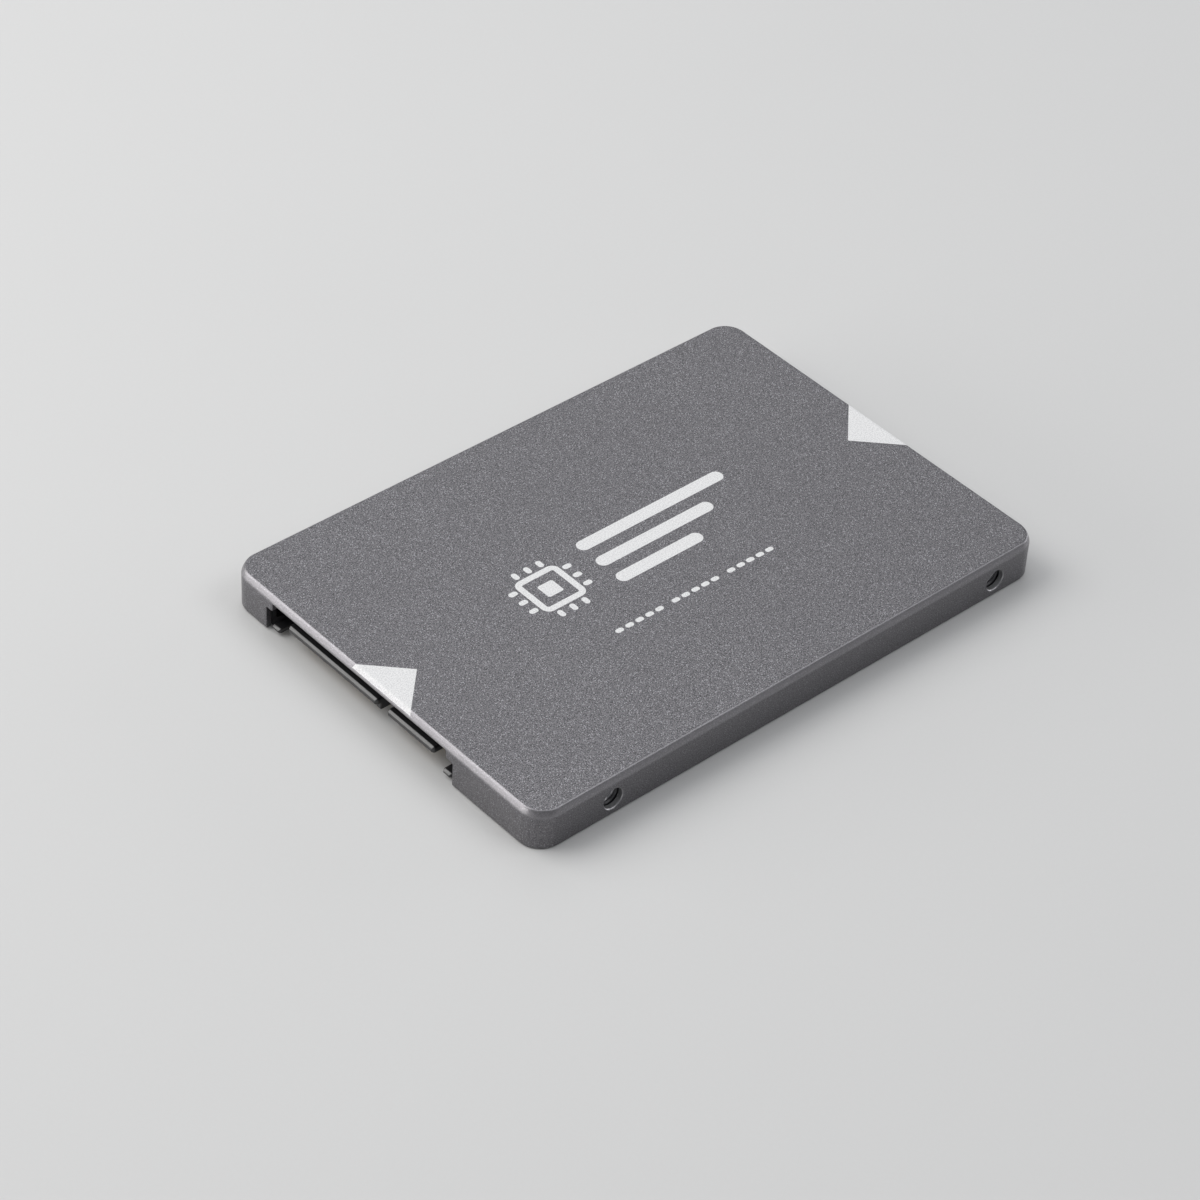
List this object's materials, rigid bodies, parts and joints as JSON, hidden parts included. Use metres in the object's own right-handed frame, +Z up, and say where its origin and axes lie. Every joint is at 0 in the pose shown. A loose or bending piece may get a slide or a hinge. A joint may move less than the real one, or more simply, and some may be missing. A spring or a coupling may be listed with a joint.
{
  "type": "solid state drive",
  "caption": "Flat 2.5-inch computer storage drive: metal lift-off cover over a tray with a circuit board, chips and an edge plug.",
  "frame": {"origin": "centre of the underside, on the plane that the drive rests on", "axes": "+X along the length, from the plug end to the far end; +Y across, towards the power contacts; +Z up through the thickness, towards the printed cover"},
  "size_m": [0.1, 0.0698, 0.007],
  "materials": {
    "cover_shell": "fine sandblasted dark grey with a slight sparkle",
    "tray_metal": "matt dark grey, bare metal in the threads",
    "board_laminate": "solder mask over glass laminate",
    "plug_plastic": "black moulded",
    "contact_gold": "gold plated",
    "chip_resin": "moulded epoxy",
    "ferrite_block": "sintered",
    "capacitor_resin": "moulded epoxy",
    "plated_steel": "nickel plated",
    "pad_silicone": "soft, matt",
    "label_paper": null
  },
  "bodies": {
    "chassis": {"base_tray": "tray_metal", "rating_label": "label_paper", "circuit_board": "board_laminate", "plug_housing": "plug_plastic", "thermal_pad": "pad_silicone", "power_contact_1": "contact_gold", "power_contact_2": "contact_gold", "power_contact_3": "contact_gold", "power_contact_4": "contact_gold", "power_contact_5": "contact_gold", "power_contact_6": "contact_gold", "power_contact_7": "contact_gold", "power_contact_8": "contact_gold", "power_contact_9": "contact_gold", "power_contact_10": "contact_gold", "power_contact_11": "contact_gold", "power_contact_12": "contact_gold", "power_contact_13": "contact_gold", "power_contact_14": "contact_gold", "power_contact_15": "contact_gold", "signal_contact_1": "contact_gold", "signal_contact_2": "contact_gold", "signal_contact_3": "contact_gold", "signal_contact_4": "contact_gold", "signal_contact_5": "contact_gold", "signal_contact_6": "contact_gold", "signal_contact_7": "contact_gold", "plug_tab_1": "plated_steel", "plug_tab_2": "plated_steel", "board_screw_1": "plated_steel", "board_screw_2": "plated_steel", "board_screw_3": "plated_steel", "board_screw_4": "plated_steel", "clock_crystal": "plated_steel", "nand_package_1": "chip_resin", "nand_package_2": "chip_resin", "nand_package_3": "chip_resin", "nand_package_4": "chip_resin", "controller_package": "chip_resin", "regulator_chip": "chip_resin", "power_inductor_1": "ferrite_block", "power_inductor_2": "ferrite_block", "hold_up_capacitor_1": "capacitor_resin", "hold_up_capacitor_2": "capacitor_resin", "hold_up_capacitor_3": "capacitor_resin", "hold_up_capacitor_4": "capacitor_resin", "hold_up_capacitor_5": "capacitor_resin", "hold_up_capacitor_6": "capacitor_resin"},
    "cover": {"top_cover": "cover_shell"}
  },
  "joints": [
    {"name": "cover_lift", "type": "slide", "parent": "chassis", "child": "cover", "axis": [0, 0, 1], "range_m": [0, 0.03]}
  ]
}
